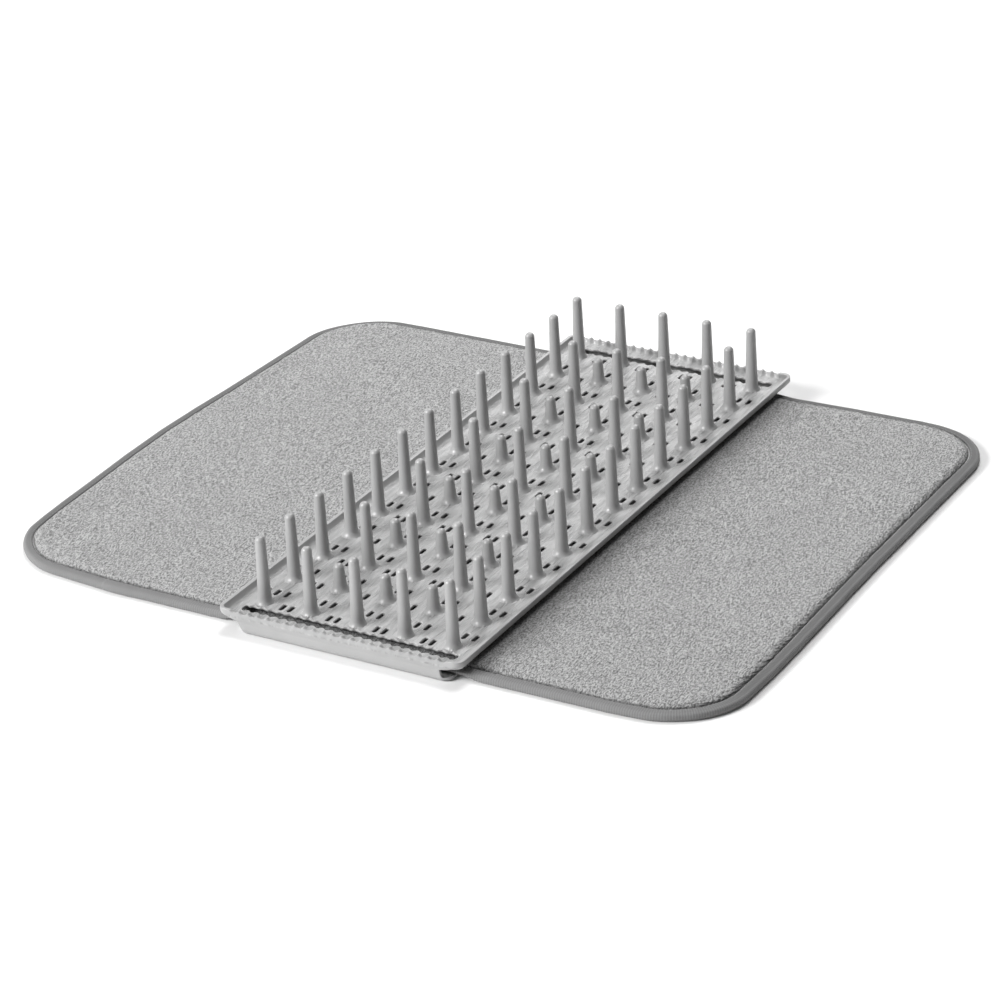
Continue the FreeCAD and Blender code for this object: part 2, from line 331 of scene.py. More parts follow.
def cloth_material(name, tone, thread):
    """Plain woven cloth; thread is the thread pitch in mm."""
    material, shader = new_material(name)
    v = shader.coord()
    frequency = 2 * math.pi / (thread * MM * 2)
    axes = shader.node("SeparateXYZ", {0: v}).outputs
    warp, weft = (
        shader.math("SINE", shader.math("MULTIPLY", axis, frequency), 0) for axis in axes[:2]
    )
    crossing = shader.math("MULTIPLY", shader.math("MULTIPLY", warp, weft), 0.5)
    weave = shader.math("ADD", crossing, 0.5)
    fibre = shader.noise(v, scale=1500.0, detail=3.0, rough=0.7)
    colour = shader.product(
        shader.ramp(weave, (0.0, tone * 0.80), (1.0, tone * 1.06)),
        shader.ramp(fibre, (0.3, 0.86), (0.7, 1.0)),
        shader.ramp(shader.noise(v, scale=26.0, detail=2.0, rough=0.5), (0.3, 0.95), (0.7, 1.0)),
    )
    normal = shader.bump(fibre, strength=0.35, distance=0.0003)
    normal = shader.bump(weave, strength=0.6, distance=0.0002, normal=normal)
    shader.feed(shader.surface, {
        "Base Color": colour, "Normal": normal,
        "Roughness": 0.92, "Specular IOR Level": 0.2, "Sheen Weight": 0.2,
    })
    return material


def tape_material(tone):
    """Ribbed binding tape: the mesh carries the ribs and a painted shade on the tape's inner part,
    lighter on the front where the light falls; the ribs are painted darker in their troughs as
    shade.
    """
    material, shader = new_material("binding_tape")
    v = shader.coord()
    fibre = shader.noise(v, scale=1300.0, detail=3.0, rough=0.7)
    wide = shader.noise(v, scale=60.0, detail=2.0, rough=0.5)
    colour = shader.product(
        # painted shade: darker in the ribs' troughs, lighter on their crests
        shader.ramp(shader.attribute("rib"), (0.0, tone * 0.80), (1.0, tone * 1.06)),
        shader.ramp(fibre, (0.3, 0.84), (0.7, 1.0)),
        shader.ramp(wide, (0.3, 0.94), (0.7, 1.0)),
        # painted shade on the tape's inner part
        shader.ramp(shader.attribute("painted_lap_shade"), (0.0, 1.0), (1.0, 0.58)),
    )
    shader.feed(shader.surface, {
        "Base Color": colour, "Normal": shader.bump(fibre, strength=0.45, distance=0.0003),
        "Roughness": 0.86, "Specular IOR Level": 0.25, "Sheen Weight": 0.15,
    })
    return material


def foam_material():
    material, shader = new_material("foam_core")
    v = shader.coord()
    cells = shader.node("TexVoronoi", {"Scale": 700.0, "Vector": v}).outputs["Distance"]
    colour = shader.product(
        shader.ramp(cells, (0.0, 0.40), (0.5, 0.62)),
        shader.ramp(shader.noise(v, scale=40.0, detail=2.0, rough=0.5), (0.3, 0.93), (0.7, 1.0)),
    )
    shader.feed(shader.surface, {
        "Base Color": colour, "Normal": shader.bump(cells, strength=0.6, distance=0.0006),
        "Roughness": 0.9,
    })
    return material


def floor_material():
    material, shader = new_material("pale_floor")
    patches = shader.noise(shader.coord(), scale=3.0, detail=3.0, rough=0.5)
    shader.feed(shader.surface, {
        "Base Color": shader.ramp(patches, (0.3, 0.85), (0.7, 0.86)),
        "Roughness": 0.95, "Specular IOR Level": 0.1,
    })
    return material


# ---------------------------------------------------------------- rack: one moulded shell
TRAY_R = 7.0
PLATE_BOT, PLATE_TOP = 11.0, 13.0
COVE_INSET = 6.8  # where the inner wall meets the plate
FLUTE_PITCH, FLUTE_DEPTH = 7.76, 2.0  # scallops along the front and back rims
RIB_FOOT_Z = 9.6

# obround slots in the plate
SLOT_LENGTH, SLOT_WIDTH = 9.2, 3.1
# long scalloped opening near the front and back
END_SLOT_Y, END_SLOT_HX, END_SLOT_HW = HY - 16.3, 88.0, 3.8
END_SLOT_WAVE, LOW_SCALLOP = 0.95, 0.35  # wave height; its share left at the plate's underside
SLOT_ROLL = 0.6  # how far a slot's rolled upper edge widens it

COLS, ROWS, PEG_PITCH = 5, 13, 38.8
TALL_H, SHORT_H = TALL_TIP_Z - PLATE_TOP, SHORT_TIP_Z - PLATE_TOP
PEG_TIP_R, PEG_ROOT_R, PEG_FOOT_R, END_FOOT_R = 3.75, 4.95, 7.9, 6.9
TAPER_START, FOOT_SWEEP, DOME_H = 3.0, 7.0, 2.9  # heights
BORE_R = 2.9
PEG_ANGLES = np.linspace(0, 2 * math.pi, 28, endpoint=False)
BORE_ANGLES = np.linspace(0, 2 * math.pi, 16, endpoint=False)

# inner wall: share of the way up, inset from the outline, height above the plate
INNER_WALL = (
    (0.0, COVE_INSET, 0.0), (0.05, 5.9, 0.05), (0.13, 5.1, 0.22), (0.26, 4.45, 0.60),
    (0.44, 3.95, 1.2), (0.64, 3.55, 2.15), (0.84, 3.2, 3.3), (0.96, 2.95, 4.3),
)
# rim: inset, height from the rim's top, share of the flutes' ripple
RIM = (
    (2.8, -0.34, 0.62), (2.4, -0.16, 0.5), (1.5, -0.06, 0.3),
    (0.6, -0.02, 0.2), (0.17, -0.2, 0.35), (0.0, -0.6, 0.5),
)
# outer wall, rim to plate underside, as (inset, height): along the left and right sides, over
# the clips, and on the rest of the front and back
SIDE_WALL = (
    (0.0, 16.2), (0.0, 14.7), (0.22, 13.8), (0.85, 12.8),
    (1.85, 11.85), (3.0, 11.2), (4.2, 11.0), (5.0, 11.0),
)
CLIP_WALL = (
    (0.0, 16.2), (0.06, 14.2), (0.26, 12.2), (0.50, 10.7),
    (0.66, 9.9), (0.74, 9.2), (1.20, 9.1), (1.95, 11.0),
)
END_WALL = (
    (0.0, 16.2), (0.08, 14.2), (0.30, 11.9), (0.48, 10.15),
    (0.80, 9.64), (1.40, 9.60), (1.95, 9.95), (2.40, 11.0),
)
FLUTE_FADE = (0.5, 0.08, 0, 0, 0, 0, 0, 0)  # extra inset under a flute at each level
# rib under the plate, just inside the wall: inset, height
RIB = (
    (6.0, PLATE_BOT + 0.2), (6.0, RIB_FOOT_Z + 0.3), (6.25, RIB_FOOT_Z),
    (7.3, RIB_FOOT_Z), (7.55, RIB_FOOT_Z + 0.3), (7.55, PLATE_BOT + 0.2),
)
# slot wall: widening, height
SLOT_WALL = (
    (SLOT_ROLL, PLATE_TOP), (0.38, PLATE_TOP - 0.06), (0.18, PLATE_TOP - 0.24),
    (0.05, PLATE_TOP - 0.5), (0.0, PLATE_TOP - 0.9), (0.0, PLATE_BOT),
)

# clips under the front and back of the mat
CLIP_T, CLIP_BEND_R = 1.8, 4.0
CLIP_Y = HY - 0.7
CLIP_TOP, CLIP_LOW_TOP, CLIP_CORNER_TOP = 14.3, 3.3, 12.2
RIGHT_WALL_END = 82.0
RIGHT_LIP_END, RIGHT_LIP_R = 89.0, 7.0
FRONT_LEFT_LIP_END, BACK_LEFT_LIP_END, LEFT_LIP_R = 80.5, 84.5, 2.4


def tray_outline():
    cx, cy = HX - TRAY_R, HY - TRAY_R
    xs = np.linspace(-cx, cx, 2 * round(cx / 0.5) + 1)
    ys = np.linspace(-cy, cy, 87)
    corner = np.linspace(0, 90, 15)[1:-1]
    return rounded_outline(HX, HY, TRAY_R, (xs, ys, xs[::-1], ys[::-1]), corner)


OUTLINE, NORMALS = tray_outline()  # relative to the middle of the rack


def inset_outline(inset):
    return OUTLINE - NORMALS * (inset * np.ones(len(OUTLINE)))[:, None]


def at_height(outline, z):
    return np.column_stack([outline[:, 0] + XC, outline[:, 1], z * np.ones(len(outline))])


def inset_ring(inset, z):
    return at_height(inset_outline(inset), z)


def flute_weight(x):
    """0 on the plain rim, 1 at the bottom of each scallop; and 1 over the scalloped stretch."""
    window = 1 - smooth01((np.abs(x) - 88.5) / 3.0)
    u = np.abs((x / FLUTE_PITCH + 0.5) % 1.0 - 0.5) * 2
    return (0.55 * (1 - u ** 2) + 0.45 * (0.5 + 0.5 * np.cos(math.pi * u))) * window, window


def circle(cx, cy, radius, angles):
    return np.stack([cx + radius * np.cos(angles), cy + radius * np.sin(angles)], -1)


def obround(cx, cy, widen):
    radius, shift = SLOT_WIDTH / 2 + widen, (SLOT_LENGTH - SLOT_WIDTH) / 2
    a = np.linspace(0, math.pi, 10)
    back = np.stack([cx + radius * np.cos(a), cy + shift + radius * np.sin(a)], -1)
    front = np.stack([cx - radius * np.cos(a), cy - shift - radius * np.sin(a)], -1)
    return np.concatenate([back, front])


def end_slot_wave(x, scallop):
    fade = 1 - smooth01((np.abs(x) - 84.5) / 2.5)
    return scallop * END_SLOT_WAVE * np.cos(2 * math.pi * x / FLUTE_PITCH) * fade


def end_slot_half(x, half_length, half_width):
    """Half width of a long opening, narrowed round at its ends."""
    close = np.clip((half_length - np.abs(x)) / 2.2, 0, 1)
    return half_width * (0.35 + 0.65 * np.sqrt(1 - (1 - close) ** 2))


def end_slot(sign, widen, scallop):
    """The long opening near the back (sign 1) or front (-1)."""
    x = np.linspace(-END_SLOT_HX, END_SLOT_HX, 2 * round(END_SLOT_HX / 0.6) + 1)
    wave = end_slot_wave(x, scallop)
    half = end_slot_half(x, END_SLOT_HX, END_SLOT_HW + widen)
    wide_x = x * (1 + widen / END_SLOT_HX)
    outer = np.stack([wide_x, END_SLOT_Y + half + wave], -1)
    inner = np.stack([wide_x, END_SLOT_Y - half + wave], -1)
    ring = np.concatenate([inner, outer[::-1]])
    return ring if sign > 0 else (ring * np.array([1, -1]))[::-1]


def lay_out_plate():
    """Peg places with their short flags, and slot places, relative to the middle of the rack."""
    pegs, short, slots = [], [], []
    for j in range(ROWS):
        y = (j - (ROWS - 1) / 2) * PEG_PITCH
        for i in range(COLS):
            x = (i - (COLS - 1) / 2) * PEG_PITCH
            pegs.append((x, y))
            short.append(j % 2 == 1 and 1 <= i <= COLS - 2)
            if j < ROWS - 1:
                slots.extend((x + dx, y + 16.6) for dx in (-8.3, 0.0, 8.3))
            if i < COLS - 1:
                slots.extend((x + PEG_PITCH / 2 + dx, y - 1.2) for dx in (-3.4, 3.4))
    return np.array(pegs), short, np.array(slots)


PEGS, PEG_SHORT, SLOTS = lay_out_plate()
FOOT_RADII = np.where(np.abs(PEGS[:, 1]) > HY - 35.0, END_FOOT_R, PEG_FOOT_R)


def in_polygon(points, ring):
    """Which points lie inside a closed ring."""
    x0, y0 = ring[:, 0], ring[:, 1]
    x1, y1 = np.roll(x0, -1), np.roll(y0, -1)
    inside = np.zeros(len(points), bool)
    block = 4000  # points handled at once, to bound memory
    for k in range(0, len(points), block):
        px = points[k : k + block, 0][:, None]
        py = points[k : k + block, 1][:, None]
        span = (y0[None, :] > py) != (y1[None, :] > py)
        with np.errstate(divide="ignore", invalid="ignore"):
            crossing = x0 + (py - y0) * (x1 - x0) / (y1 - y0)
        inside[k : k + block] = (np.where(span, crossing > px, False).sum(1) % 2) == 1
    return inside


def add_plate(shell, outer, z, widen, hole_radii, hole_angles, grid, scallop, up):
    """One flat face of the plate, triangulated with every opening left out."""
    rings = [outer]
    rings += [obround(cx, cy, widen) for cx, cy in SLOTS]
    rings += [end_slot(sign, widen, scallop) for sign in (-1, 1)]
    rings += [circle(cx, cy, r, hole_angles) for (cx, cy), r in zip(PEGS, hole_radii)]
    points, edges = [], []
    for ring in rings:
        start, count = len(points), len(ring)
        points.extend(map(tuple, ring))
        edges.extend((start + k, start + (k + 1) % count) for k in range(count))

    def in_opening(q, margin, hole_margin):
        x, y = q[:, 0], q[:, 1]
        half = end_slot_half(x, END_SLOT_HX + widen, END_SLOT_HW + widen)
        off = np.abs(y) - (END_SLOT_Y + end_slot_wave(x, scallop))
        found = np.abs(off) < half + margin
        found &= np.abs(x) < END_SLOT_HX + widen + margin
        for cx, cy in SLOTS:
            dy = np.maximum(np.abs(y - cy) - (SLOT_LENGTH - SLOT_WIDTH) / 2, 0)
            found |= np.hypot(x - cx, dy) < SLOT_WIDTH / 2 + widen + margin
        for (cx, cy), r in zip(PEGS, hole_radii):
            found |= np.hypot(x - cx, y - cy) < r + hole_margin
        return found

    # a loose grid of points keeps the triangles even
    reach_x, reach_y = np.abs(outer[:, 0]).max(), np.abs(outer[:, 1]).max()
    grid_x = np.arange(-reach_x + grid, reach_x - grid * 0.6, grid)
    grid_y = np.arange(-reach_y + grid, reach_y - grid * 0.6, grid)
    fill = np.stack(np.meshgrid(grid_x, grid_y), -1).reshape(-1, 2)
    corner = np.maximum(np.abs(fill) - (np.array([reach_x, reach_y]) - 6), 0)
    keep = ~in_opening(fill, 1.6, 1.6) & (np.hypot(corner[:, 0], corner[:, 1]) < 4)
    points.extend(map(tuple, fill[keep]))

    flat, _, tri, _, _, _ = delaunay_2d_cdt([Vector(p) for p in points], edges, [], 0, 1e-5, True)
    flat = np.array([tuple(p) for p in flat])
    tri = np.array([t for t in tri if len(t) == 3])
    centres = flat[tri].mean(1)
    tri = tri[in_polygon(centres, outer) & ~in_opening(centres, -0.02, -0.05)]
    e1, e2 = flat[tri[:, 1]] - flat[tri[:, 0]], flat[tri[:, 2]] - flat[tri[:, 0]]
    clockwise = ~((e1[:, 0] * e2[:, 1] - e1[:, 1] * e2[:, 0]) > 0)
    tri[clockwise] = tri[clockwise][:, ::-1]
    if not up:
        tri = tri[:, ::-1]
    start = shell.add(at_height(flat, z))
    shell.faces.extend((tri + start).tolist())


def add_walls(shell):
    """Inner wall, rim and outer wall as one skin; gives the outline of the plate's underside."""
    x, y = OUTLINE.T
    straight = np.abs(NORMALS[:, 1]) > 0.999  # front and back, without the corners
    flute, window = flute_weight(x)
    flute, window = flute * straight, window * straight
    wave = flute - 0.5 * window
    top = RIM_Z - FLUTE_DEPTH * flute
    # the skirt is deep only along the front and back
    end_share = smooth01((96.5 - np.abs(x)) / 14.0) * (np.abs(y) > HY - TRAY_R)
    clip_share = (1 - smooth01((np.abs(x) - 76.5) / 5.0)) * straight

    rings = []
    for t, inset, rise in INNER_WALL:
        z = PLATE_TOP + rise * (top - PLATE_TOP) / (RIM_Z - PLATE_TOP)
        rings.append(inset_ring(inset - 1.5 * wave * t ** 0.6 * (1 - 0.45 * t), z))
    for inset, drop, share in RIM:
        if inset > 0.4:
            rippled = np.maximum(inset - share * wave, 0.0)
        else:
            rippled = inset + share * 0.9 * flute
        rings.append(inset_ring(rippled, top + drop))
    for side, end, clip, fade in zip(SIDE_WALL, END_WALL, CLIP_WALL, FLUTE_FADE):
        inset, z = (
            s + (e + (c - e) * clip_share - s) * end_share for s, e, c in zip(side, end, clip)
        )
        rings.append(inset_ring(inset + fade * flute, z))
    shell.tube(rings, flip=True)
    return inset_outline(inset)


def add_slot_wall(shell, ring_at):
    shell.tube([at_height(ring_at(widen, z), z) for widen, z in SLOT_WALL])


def peg_profile(height, foot_radius, taper_steps):
    """(radius, height above the plate): swept foot, long taper, domed tip."""
    dome_start = height - DOME_H

    def body(z):
        share = max(z - TAPER_START, 0) / (dome_start - TAPER_START)
        return PEG_ROOT_R + (PEG_TIP_R - PEG_ROOT_R) * share

    profile = []
    for z in (0.0, 0.12, 0.4, 0.85, 1.5, 2.4, 3.6, 5.2, FOOT_SWEEP):
        sweep = (foot_radius - PEG_ROOT_R) * (1 - z / FOOT_SWEEP) ** 3.2
        profile.append((body(z) + sweep, z))
    for k in range(1, taper_steps + 1):
        z = FOOT_SWEEP + (dome_start - FOOT_SWEEP) * k / taper_steps
        profile.append((body(z), z))
    dome_r = (PEG_TIP_R ** 2 + DOME_H ** 2) / (2 * DOME_H)
    for k in range(1, 7):
        a = math.asin(PEG_TIP_R / dome_r) * (1 - k / 7)
        profile.append((dome_r * math.sin(a), height - dome_r * (1 - math.cos(a))))
    return profile


def add_spun(shell, cx, cy, profile, tip, angles, flip=False):
    """A profile of (radius, height above the plate) turned about a peg's axis up to a point."""
    rings = [at_height(circle(cx, cy, r, angles), PLATE_TOP + z) for r, z in profile]
    last = shell.tube(rings, flip)[1]
    point = shell.add([(XC + cx, cy, PLATE_TOP + tip)])
    for k in range(len(angles)):
        pair = (last + k, last + (k + 1) % len(angles))
        shell.faces.append((*(pair[::-1] if flip else pair), point))


def add_peg(shell, cx, cy, short, foot_radius):
    height = SHORT_H if short else TALL_H
    profile = peg_profile(height, foot_radius, taper_steps=3 if short else 6)
    add_spun(shell, cx, cy, profile, height, PEG_ANGLES)
    floor_z = PLATE_BOT - PLATE_TOP
    bore = (
        (BORE_R, floor_z), (BORE_R - 0.1, floor_z + 1.5),
        (2.6 if short else 1.9, height - 5.5), (1.2, height - 4.2),
    )
    add_spun(shell, cx, cy, bore, height - 4.0, BORE_ANGLES, flip=True)


def clip_section():
    """Full section of a clip as (y, z): a wall turned in at the bottom as a lip."""
    quarter = np.linspace(0, math.pi / 2, 7)

    def bend(radius, angles):
        return [
            (CLIP_Y - CLIP_BEND_R + radius * math.cos(a), CLIP_BEND_R - radius * math.sin(a))
            for a in angles
        ]

    wall_in = [(CLIP_Y - CLIP_T, z) for z in (CLIP_TOP, 11.0, 7.5)]
    wall_out = [(CLIP_Y, z) for z in (6.5, 9.0, 11.5, CLIP_TOP)]
    lip = [
        (HY - 9.5, CLIP_T), (HY - 15.0, CLIP_T), (LIP_IN_Y + 0.5, CLIP_T),
        (LIP_IN_Y + 0.08, CLIP_T - 0.35), (LIP_IN_Y, 0.9), (LIP_IN_Y + 0.08, 0.35),
        (LIP_IN_Y + 0.5, 0.0), (HY - 15.0, 0.0), (HY - 9.5, 0.0),
    ]
    inner = bend(CLIP_BEND_R - CLIP_T, quarter)
    return np.array(wall_in + inner + lip + bend(CLIP_BEND_R, quarter[::-1]) + wall_out)


def add_clip(shell, sign):
    """The clip at the back (sign 1) or front (-1), swept along x."""
    left_end = FRONT_LEFT_LIP_END if sign < 0 else BACK_LEFT_LIP_END
    left = [-left_end + 4 * (1 - math.cos(t)) for t in np.linspace(0, math.pi / 2, 12)]
    right = [RIGHT_LIP_END - 10 * (1 - math.cos(t)) for t in np.linspace(0, math.pi / 2, 26)]
    middle = np.linspace(left[-1], right[-1], 84)[1:-1]
    section_y, section_z = clip_section().T
    rings = []
    for x in np.unique(np.round(np.concatenate([left, middle, right]), 4)):
        lip_end, lip_r = (RIGHT_LIP_END, RIGHT_LIP_R) if x > 0 else (left_end, LEFT_LIP_R)
        into_corner = min(max(abs(x) - (lip_end - lip_r), 0), lip_r)
        cut = lip_r - math.sqrt(max(lip_r ** 2 - into_corner ** 2, 0))
        if x > 0:
            t = float(np.clip((x - RIGHT_WALL_END + 0.3) / 3.2, 0, 1))
            top = CLIP_TOP - (CLIP_TOP - CLIP_LOW_TOP) * (1 - (1 - t) ** 2.2)
        else:
            top = CLIP_CORNER_TOP if into_corner > 0 else CLIP_TOP
        inner_top = np.maximum(top - 0.25, CLIP_T)
        z = np.minimum(section_z, np.where(section_y > CLIP_Y - 0.9, top, inner_top))
        share = (section_y - LIP_IN_Y) / (CLIP_Y - LIP_IN_Y)
        y = LIP_IN_Y + cut + share * ((CLIP_Y - cut) - (LIP_IN_Y + cut))
        # the left end leans outward as it rises
        slant = -4.6 * smooth01((z - 0.5) / 10.5) * smooth01((-x - 62.0) / 18.0)
        rings.append(np.column_stack([XC + x + slant, sign * y, z]))
    shell.bar(rings, flip=sign > 0)


def build_rack(material):
    shell = Shell()
    underside = add_walls(shell)
    add_plate(
        shell, inset_outline(COVE_INSET), PLATE_TOP, widen=SLOT_ROLL, hole_radii=FOOT_RADII,
        hole_angles=PEG_ANGLES, grid=6.0, scallop=1.0, up=True,
    )
    add_plate(
        shell, underside, PLATE_BOT, widen=0.0, hole_radii=np.full(len(PEGS), BORE_R),
        hole_angles=BORE_ANGLES, grid=9.0, scallop=LOW_SCALLOP, up=False,
    )
    shell.tube([inset_ring(inset, z) for inset, z in RIB], flip=True)
    for cx, cy in SLOTS:
        add_slot_wall(shell, lambda widen, z: obround(cx, cy, widen))
    for sign in (-1, 1):
        add_slot_wall(shell, lambda widen, z: end_slot(
            sign, widen, float(np.clip((z - PLATE_BOT) / 1.2, LOW_SCALLOP, 1.0))))
    for (cx, cy), short, foot_radius in zip(PEGS, PEG_SHORT, FOOT_RADII):
        add_peg(shell, cx, cy, short, foot_radius)
    for sign in (-1, 1):
        add_clip(shell, sign)

    rack = mesh_object("moulded_rack", shell.verts(), shell.faces, material)
    bm = bmesh.new()
    bm.from_mesh(rack.data)
    bmesh.ops.remove_doubles(bm, verts=bm.verts, dist=2e-6)
    bmesh.ops.dissolve_degenerate(bm, edges=bm.edges, dist=1e-6)
    bmesh.ops.recalc_face_normals(bm, faces=bm.faces)
    bm.to_mesh(rack.data)
    bm.free()
    weighted = rack.modifiers.new("weighted", "WEIGHTED_NORMAL")
    weighted.mode = "FACE_AREA"
    weighted.weight = 50
    weighted.keep_sharp = False
    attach(rack, "rack")
    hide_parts("peg_tray", "tall_pegs", "short_pegs")


# ---------------------------------------------------------------- mat
# where one mat piece stops and the next starts, well away from the creases
CUTS = (-134.0, 17.0, 173.0)
FAR = 1e9

# each part spans x from low to high across the crease where the real mat folds between two panels;
# direction points outward, pieces are the CAD pieces it replaces in every layer
Part = namedtuple("Part", "name low high inner_panel outer_panel crease direction pieces")
PARTS = (
    Part("left_outer", -FAR, CUTS[0], "mat_left_inner", "mat_left_outer",
         XC - HX - 68.0, -1, ("left_outer",)),
    Part("left_inner", CUTS[0], CUTS[1], "mat_centre", "mat_left_inner",
         XC - HX - 8.0, -1, ("left_inner", "centre")),
    Part("right_inner", CUTS[1], CUTS[2], "mat_centre", "mat_right_inner",
         XC + HX + 8.0, 1, ("right_inner",)),
    Part("right_outer", CUTS[2], FAR, "mat_right_inner", "mat_right_outer",
         XC + HX + 78.5, 1, ("right_outer",)),
)

# drift of the mat's edges: places along the edge, then the shift there
LEFT_DRIFT = (  # over y, towards +x
    (-249, -215, -180, -150, -110, -60, -10, 35, 70, 110, 150, 190, 249),
    (9.5, 7.0, 4.0, 2.4, 1.0, -1.2, -1.9, 0.0, 2.4, 4.4, 6.0, 7.6, 9.0),
)
RIGHT_DRIFT = (  # over y, towards +x
    (-249, -200, -160, -120, -80, -30, 20, 249),
    (-0.5, 1.2, 2.6, 2.5, 1.7, 0.7, 0.0, 0.0),
)
FRONT_DRIFT = (  # over x, towards +y
    (-302, -270, -250, -230, -205, -185, 60, 115, 225, 250, 275, 302),
    (8.0, 6.4, 5.2, 3.4, 1.4, 0.0, 0.0, -2.2, -1.9, 0.0, 1.6, 1.0),
)
BACK_DRIFT = (  # over x, towards -y
    (-302, -285, -262, -246, -225, -90, 100, 128, 150, 175, 235, 262, 302),
    (7.0, 5.0, 2.0, 0.0, -0.5, 0.0, 0.0, 2.4, 1.8, 0.8, 0.6, 2.6, 4.0),
)


def hang(ob, part, layer=None):
    """Bakes a mat piece's transform and hides the CAD pieces it replaces in a layer."""
    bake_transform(ob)
    if layer:
        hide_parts(*[f"{layer}_{piece}" for piece in part.pieces])


def within(x, part):
    return (x >= part.low - 1e-6) & (x <= part.high + 1e-6)


def edge_distance(x, y, hx, hy, r):
    """Distance inward from a rounded rectangle's outline."""
    qx, qy = np.abs(x) - (hx - r), np.abs(y) - (hy - r)
    out = np.hypot(np.maximum(qx, 0), np.maximum(qy, 0)) + np.minimum(np.maximum(qx, qy), 0) - r
    return -out


def sheet_grid(hx, hy, r, step, fine, band):
    """Grid over a rounded rectangle: fine steps in a band along its edge, a column on every cut."""
    edge = np.arange(0, band, fine)
    stops = [-hx + band, *CUTS, hx - band]
    inner = [
        np.linspace(a, c, max(1, round((c - a) / step)), endpoint=False)
        for a, c in zip(stops[:-1], stops[1:])
    ]
    xs = np.unique(np.round(np.concatenate([-hx + edge, *inner, [hx - band], hx - edge]), 5))
    middle = np.linspace(-(hy - band), hy - band, round(2 * (hy - band) / step) + 1)
    ys = np.unique(np.round(np.concatenate([-hy + edge, middle, hy - edge]), 5))
    # every column is shortened to the outline's half depth there
    k = np.clip(np.abs(xs) - (hx - r), 0, r)
    half_depth = hy - r + np.sqrt(np.maximum(r * r - k * k, 0))
    return xs, np.repeat(xs[:, None], len(ys), 1), half_depth[:, None] * (ys / hy)[None, :]


def pocket(x, y):
    """1 where the underside is lifted over the clips' lips, 0 elsewhere."""
    across = 1 - smooth01((np.abs(x - XC) - 95.5) / 11.5)
    return across * smooth01((np.abs(y) - (LIP_IN_Y - 10.5)) / 9.0)


def settle(points):
    """The soft mat is not a perfect rounded rectangle: its edges wander a few millimetres."""
    x, y = points[..., 0], points[..., 1]
    settled = np.array(points, float)
    left = smooth01((-130.0 - x) / 150.0) * np.interp(y, *LEFT_DRIFT)
    right = smooth01((x - 200.0) / 90.0) * np.interp(y, *RIGHT_DRIFT)
    front = smooth01((-y - 130.0) / 110.0) * np.interp(x, *FRONT_DRIFT)
    back = smooth01((y - 130.0) / 110.0) * np.interp(x, *BACK_DRIFT)
    settled[..., 0] = x + (left + right)
    settled[..., 1] = y + (front - back)
    return settled


def build_pile(material):
    """Terry pile: puffed up inside the binding, ragged at its edge, every loop its own height."""
    inset, edge_z = 8.6, 5.2
    hx, hy, r = MAT_HX - inset, MAT_HY - inset, MAT_R - inset
    xs, X, Y = sheet_grid(hx, hy, r, step=1.25, fine=0.6, band=4.8)
    rows, cols = X.shape
    depth = edge_distance(X, Y, hx, hy, r)
    rise = (1 - (1 - np.clip(depth / 6.5, 0, 1)) ** 2.2) ** 0.75
    swell = smooth_noise(X.shape, (14, 11), 0.16) + smooth_noise(X.shape, (40, 32), 0.10)
    loops = rng.standard_normal(X.shape) * 0.17
    loops = loops + smooth_noise(X.shape, (int(rows / 1.5), int(cols / 2.5)), 0.15)
    top = PILE_Z - 0.1 + np.clip(swell + loops, -0.75, 0.72) * np.clip(depth / 2.5, 0.35, 1)
    # the loops lie flattened in the strip under the rack
    from_middle = np.abs(X - XC)
    under_rack = 1 - smooth01((from_middle - (HX - 13.0)) / 9.0)
    Z = np.maximum(edge_z + (top - edge_z) * rise - 1.5 * under_rack, edge_z + 0.05)
    # painted shade: the pile is darker under the rack, in a painted shadow just right of the rack,
    # and along its own edge where it meets the binding
    painted_rack_shadow = np.where(X > XC, 0.60, 0.0) * (1 - smooth01((from_middle - (HX - 2.0)) / 40.0))
    edge = 1 - smooth01((depth - 0.3) / 1.2)
    painted_shade = np.maximum(np.maximum(under_rack, painted_rack_shadow), edge)
    rag = smooth_noise(X.shape, (rows // 2, cols // 2), 0.45) * np.clip(depth / 0.5, 0, 1)

    def nudge(place, half):
        jitter = rng.uniform(-0.3, 0.3, X.shape) * np.clip(depth / 2.0, 0.2, 1)
        near_edge = (1 - np.clip(depth / 6, 0, 1)) * (half - np.abs(place) < 30)
        return jitter + rag * np.sign(place) * near_edge

    nudge_x = nudge(X, hx)
    nudge_y = nudge(Y, hy)
    for cut in CUTS:
        nudge_x[np.abs(xs - cut) < 1e-3, :] = 0
    points = np.stack([X + nudge_x, Y + nudge_y, Z], -1)
    for part in PARTS:
        chosen = within(xs, part)
        block = settle(points[chosen])
        faces = grid_faces(*block.shape[:2], flip=True).tolist()
        ob = mesh_object(f"terry_pile_{part.name}_visual", block.reshape(-1, 3), faces, material)
        add_attribute(ob, "painted_shade", painted_shade[chosen].reshape(-1))
        hang(ob, part, layer="terry_pile")


def slab_faces(rows, cols):
    """Faces of a closed slab: lower grid, upper grid, and the walls between them."""
    count = rows * cols
    lower = grid_faces(rows, cols)
    upper = grid_faces(rows, cols, offset=count, flip=True)
    faces = np.concatenate([lower, upper]).tolist()

    def wall(a, b):
        return [a, b, b + count, a + count]

    for start in range(0, (rows - 1) * cols, cols):
        faces.append(wall(start, start + cols)[::-1])
        faces.append(wall(start + cols - 1, start + 2 * cols - 1))
    for first in range(cols - 1):
        last = (rows - 1) * cols + first
        faces.append(wall(first, first + 1))
        faces.append(wall(last, last + 1)[::-1])
    return faces


